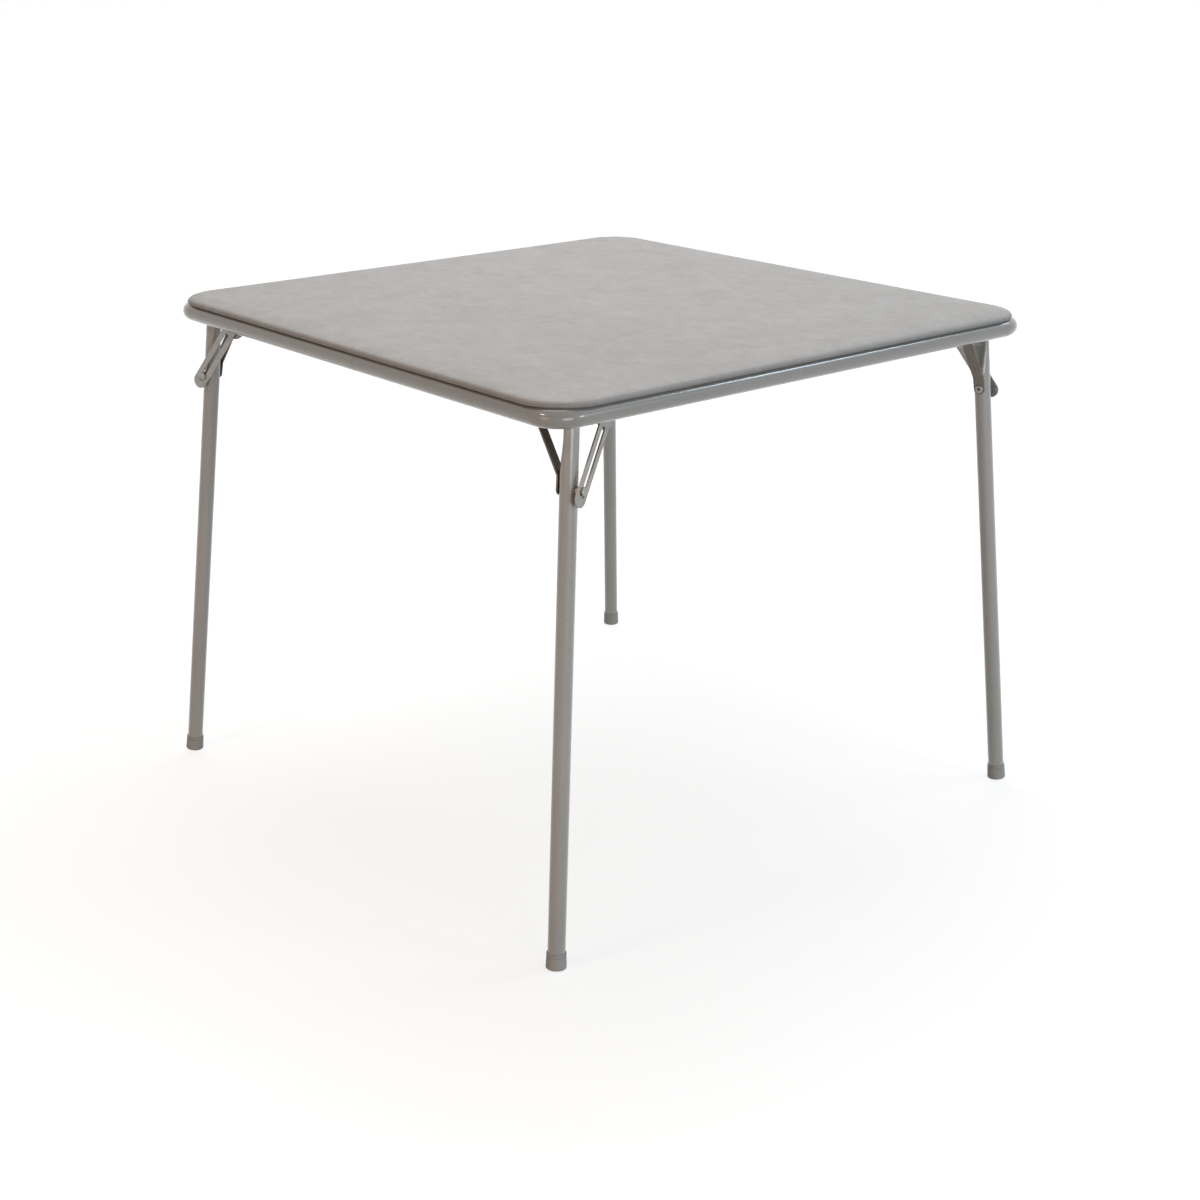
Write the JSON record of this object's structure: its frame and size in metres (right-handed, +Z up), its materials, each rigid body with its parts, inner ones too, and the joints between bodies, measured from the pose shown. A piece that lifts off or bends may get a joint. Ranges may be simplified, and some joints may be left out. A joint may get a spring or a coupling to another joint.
{
  "type": "folding card table",
  "caption": "Square folding card table with a padded vinyl top, bent tube frame, and folding tube legs locked open by slotted links.",
  "frame": {"origin": "centre of the footprint on the floor", "axes": "+Z up; the four sides of the top face +X, -X, +Y and -Y; front_left is at -X, -Y"},
  "size_m": [0.8922, 0.8922, 0.7049],
  "materials": {
    "frame_paint": "semi-gloss grey paint",
    "bare_steel": "plain",
    "zinc_steel": "dull zinc plate",
    "bright_steel": "bright zinc plate",
    "vinyl": "mottled suede-look vinyl",
    "foam": "open-cell foam",
    "hardboard": "smooth pressed board",
    "foot_rubber": "matte"
  },
  "bodies": {
    "frame": {"frame_tube": "frame_paint", "frame_sleeve": "bare_steel", "top_board": "hardboard", "foam_pad": "foam", "vinyl_cover": "vinyl", "board_screws": "bright_steel", "corner_bracket_front_left": "frame_paint", "hinge_rod_front_left": "bright_steel", "push_nut_front_left": "bright_steel", "ear_rivet_front_left": "bright_steel", "corner_bracket_front_right": "frame_paint", "hinge_rod_front_right": "bright_steel", "push_nut_front_right": "bright_steel", "ear_rivet_front_right": "bright_steel", "corner_bracket_back_right": "frame_paint", "hinge_rod_back_right": "bright_steel", "push_nut_back_right": "bright_steel", "ear_rivet_back_right": "bright_steel", "corner_bracket_back_left": "frame_paint", "hinge_rod_back_left": "bright_steel", "push_nut_back_left": "bright_steel", "ear_rivet_back_left": "bright_steel"},
    "leg_front_left": {"leg_tube_front_left": "frame_paint", "foot_cap_front_left": "foot_rubber", "leg_strap_front_left": "zinc_steel"},
    "pin_front_left": {"leg_rivet_front_left": "bright_steel", "rivet_spacer_front_left": "bright_steel"},
    "link_front_left": {"lock_link_front_left": "zinc_steel", "link_rivet_front_left": "bright_steel"},
    "leg_front_right": {"leg_tube_front_right": "frame_paint", "foot_cap_front_right": "foot_rubber", "leg_strap_front_right": "zinc_steel"},
    "pin_front_right": {"leg_rivet_front_right": "bright_steel", "rivet_spacer_front_right": "bright_steel"},
    "link_front_right": {"lock_link_front_right": "zinc_steel", "link_rivet_front_right": "bright_steel"},
    "leg_back_right": {"leg_tube_back_right": "frame_paint", "foot_cap_back_right": "foot_rubber", "leg_strap_back_right": "zinc_steel"},
    "pin_back_right": {"leg_rivet_back_right": "bright_steel", "rivet_spacer_back_right": "bright_steel"},
    "link_back_right": {"lock_link_back_right": "zinc_steel", "link_rivet_back_right": "bright_steel"},
    "leg_back_left": {"leg_tube_back_left": "frame_paint", "foot_cap_back_left": "foot_rubber", "leg_strap_back_left": "zinc_steel"},
    "pin_back_left": {"leg_rivet_back_left": "bright_steel", "rivet_spacer_back_left": "bright_steel"},
    "link_back_left": {"lock_link_back_left": "zinc_steel", "link_rivet_back_left": "bright_steel"}
  },
  "joints": [
    {"name": "leg_fold_front_left", "type": "hinge", "parent": "frame", "child": "leg_front_left", "pos_m": [-0.36595, -0.38685, 0.674], "axis": [0.3005, -0.953, 0.0384], "range_deg": [0, 95.8]},
    {"name": "pin_turn_front_left", "type": "hinge", "parent": "leg_front_left", "child": "pin_front_left", "pos_m": [-0.37688, -0.39364, 0.5909], "axis": [0.3005, -0.953, 0.0384], "range_deg": [0, 31.03]},
    {"name": "link_slide_front_left", "type": "slide", "parent": "pin_front_left", "child": "link_front_left", "axis": [-0.5611, -0.2092, -0.8009], "range_m": [0, 0.06157]},
    {"name": "leg_fold_front_right", "type": "hinge", "parent": "frame", "child": "leg_front_right", "pos_m": [0.38685, -0.36595, 0.674], "axis": [0.953, 0.3005, 0.0384], "range_deg": [0, 95.8]},
    {"name": "pin_turn_front_right", "type": "hinge", "parent": "leg_front_right", "child": "pin_front_right", "pos_m": [0.39364, -0.37688, 0.5909], "axis": [0.953, 0.3005, 0.0384], "range_deg": [0, 31.03]},
    {"name": "link_slide_front_right", "type": "slide", "parent": "pin_front_right", "child": "link_front_right", "axis": [0.2092, -0.5611, -0.8009], "range_m": [0, 0.06157]},
    {"name": "leg_fold_back_right", "type": "hinge", "parent": "frame", "child": "leg_back_right", "pos_m": [0.36595, 0.38685, 0.674], "axis": [-0.3005, 0.953, 0.0384], "range_deg": [0, 95.8]},
    {"name": "pin_turn_back_right", "type": "hinge", "parent": "leg_back_right", "child": "pin_back_right", "pos_m": [0.37688, 0.39364, 0.5909], "axis": [-0.3005, 0.953, 0.0384], "range_deg": [0, 31.03]},
    {"name": "link_slide_back_right", "type": "slide", "parent": "pin_back_right", "child": "link_back_right", "axis": [0.5611, 0.2092, -0.8009], "range_m": [0, 0.06157]},
    {"name": "leg_fold_back_left", "type": "hinge", "parent": "frame", "child": "leg_back_left", "pos_m": [-0.38685, 0.36595, 0.674], "axis": [-0.953, -0.3005, 0.0384], "range_deg": [0, 95.8]},
    {"name": "pin_turn_back_left", "type": "hinge", "parent": "leg_back_left", "child": "pin_back_left", "pos_m": [-0.39364, 0.37688, 0.5909], "axis": [-0.953, -0.3005, 0.0384], "range_deg": [0, 31.03]},
    {"name": "link_slide_back_left", "type": "slide", "parent": "pin_back_left", "child": "link_back_left", "axis": [-0.2092, 0.5611, -0.8009], "range_m": [0, 0.06157]}
  ],
  "couplings": [
    {"joint": "pin_turn_front_left", "follows": "leg_fold_front_left", "ratio": 0.32284},
    {"joint": "link_slide_front_left", "follows": "leg_fold_front_left", "m_per_rad": 0.036706},
    {"joint": "pin_turn_front_right", "follows": "leg_fold_front_right", "ratio": 0.32284},
    {"joint": "link_slide_front_right", "follows": "leg_fold_front_right", "m_per_rad": 0.036706},
    {"joint": "pin_turn_back_right", "follows": "leg_fold_back_right", "ratio": 0.32284},
    {"joint": "link_slide_back_right", "follows": "leg_fold_back_right", "m_per_rad": 0.036706},
    {"joint": "pin_turn_back_left", "follows": "leg_fold_back_left", "ratio": 0.32284},
    {"joint": "link_slide_back_left", "follows": "leg_fold_back_left", "m_per_rad": 0.036706}
  ]
}
